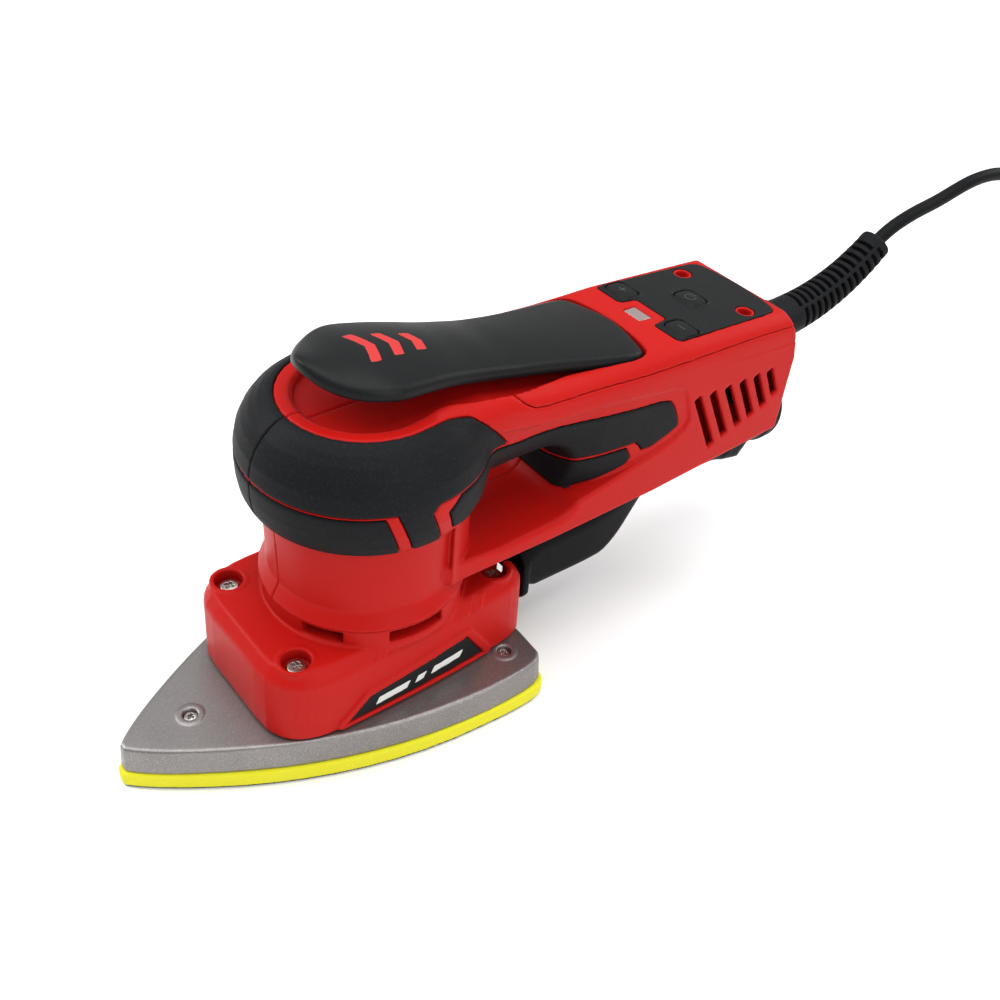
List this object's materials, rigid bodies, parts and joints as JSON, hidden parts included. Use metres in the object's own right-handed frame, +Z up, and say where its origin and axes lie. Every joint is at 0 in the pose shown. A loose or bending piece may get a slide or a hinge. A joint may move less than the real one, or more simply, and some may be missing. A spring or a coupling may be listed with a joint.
{
  "type": "orbital sander",
  "caption": "Corded delta sander: paddle lever over a rubber-clad motor head on an orbiting triangular pad, loop handle with keypad, rear dust duct and mains lead.",
  "frame": {"origin": "on the motor's axis, on the pad's bottom face", "axes": "+Z up from the work, -Y towards the pad's tip, +Y towards the cord, +X the side with the label"},
  "size_m": [0.1677, 0.5866, 0.148],
  "materials": {
    "red_plastic": "satin moulded nylon with a fine grain",
    "grip_rubber": "matt overmoulded rubber with a fine speckle",
    "black_plastic": "satin moulded black plastic",
    "lever_plastic": "satin black plastic",
    "cast_aluminium": "blasted casting",
    "bright_steel": "zinc plated",
    "copper_winding": "enamelled windings",
    "pad_foam": "matt dense foam",
    "hook_fabric": "fine hook facing",
    "circuit_board": "solder mask",
    "clear_lens": "clear light guide",
    "cord_sheath": "smooth matt rubber sheath"
  },
  "bodies": {
    "housing": {"housing_left": "red_plastic", "housing_right": "red_plastic", "top_cover": "red_plastic", "led_window": "clear_lens", "keypad_panel": "grip_rubber", "cover_screw_1": "bright_steel", "cover_screw_2": "bright_steel", "head_grip_left": "grip_rubber", "head_grip_right": "grip_rubber", "lower_band_left": "grip_rubber", "lower_band_right": "grip_rubber", "neck_band_left": "grip_rubber", "neck_band_right": "grip_rubber", "palm_grip_left": "grip_rubber", "palm_grip_right": "grip_rubber", "lever_pin": "bright_steel", "lever_switch": "black_plastic", "lever_spring": "bright_steel", "base_shell": "red_plastic", "label_plate": "black_plastic", "base_screw_1": "bright_steel", "base_screw_2": "bright_steel", "base_screw_3": "bright_steel", "base_screw_4": "bright_steel", "elastic_leg_1": "grip_rubber", "elastic_leg_2": "grip_rubber", "elastic_leg_3": "grip_rubber", "elastic_leg_4": "grip_rubber", "motor_bracket": "cast_aluminium", "lower_bearing": "bright_steel", "upper_bearing": "bright_steel", "motor_stator": "copper_winding", "control_board": "circuit_board", "heat_sink": "cast_aluminium", "keypad_board": "circuit_board", "cord_clamp": "black_plastic", "dust_duct": "black_plastic", "strain_relief": "grip_rubber", "power_cord": "cord_sheath", "cord_coil": "cord_sheath", "cord_tail": "cord_sheath", "cord_tie": "black_plastic", "plug_body": "black_plastic", "plug_pin_1": "bright_steel", "plug_pin_2": "bright_steel"},
    "rotor": {"motor_shaft": "bright_steel", "rotor_core": "bright_steel", "cooling_fan": "black_plastic", "eccentric_weight": "cast_aluminium"},
    "pad": {"drive_bearing": "bright_steel", "base_plate": "cast_aluminium", "sanding_pad": "pad_foam", "hook_layer": "hook_fabric", "plate_screw_1": "bright_steel", "plate_screw_2": "bright_steel", "plate_screw_3": "bright_steel"},
    "lever": {"lever": "lever_plastic"},
    "button_plus": {"button_plus": "grip_rubber"},
    "button_minus": {"button_minus": "grip_rubber"},
    "button_power": {"button_power": "grip_rubber"}
  },
  "joints": [
    {"name": "motor_spin", "type": "hinge", "parent": "housing", "child": "rotor", "pos_m": [0, 0, 0.06], "axis": [0, 0, 1], "continuous": true},
    {"name": "pad_orbit", "type": "hinge", "parent": "rotor", "child": "pad", "pos_m": [0, 0.0015, 0.022], "axis": [0, 0, 1], "continuous": true},
    {"name": "lever_press", "type": "hinge", "parent": "housing", "child": "lever", "pos_m": [0, 0.101, 0.1152], "axis": [1, 0, 0], "range_deg": [0, 4], "stiffness_Nm_per_rad": 1.5, "springref_deg": -8.59, "deforming": ["lever_spring"]},
    {"name": "button_plus_press", "type": "slide", "parent": "housing", "child": "button_plus", "axis": [0, -0.0688, -0.9976], "range_m": [0, 0.0008], "stiffness_N_per_m": 400, "springref_m": -0.0015},
    {"name": "button_minus_press", "type": "slide", "parent": "housing", "child": "button_minus", "axis": [0, -0.0688, -0.9976], "range_m": [0, 0.0008], "stiffness_N_per_m": 400, "springref_m": -0.0015},
    {"name": "button_power_press", "type": "slide", "parent": "housing", "child": "button_power", "axis": [0, -0.0688, -0.9976], "range_m": [0, 0.0008], "stiffness_N_per_m": 400, "springref_m": -0.0015}
  ],
  "couplings": [
    {"joint": "pad_orbit", "follows": "motor_spin", "ratio": -1}
  ]
}
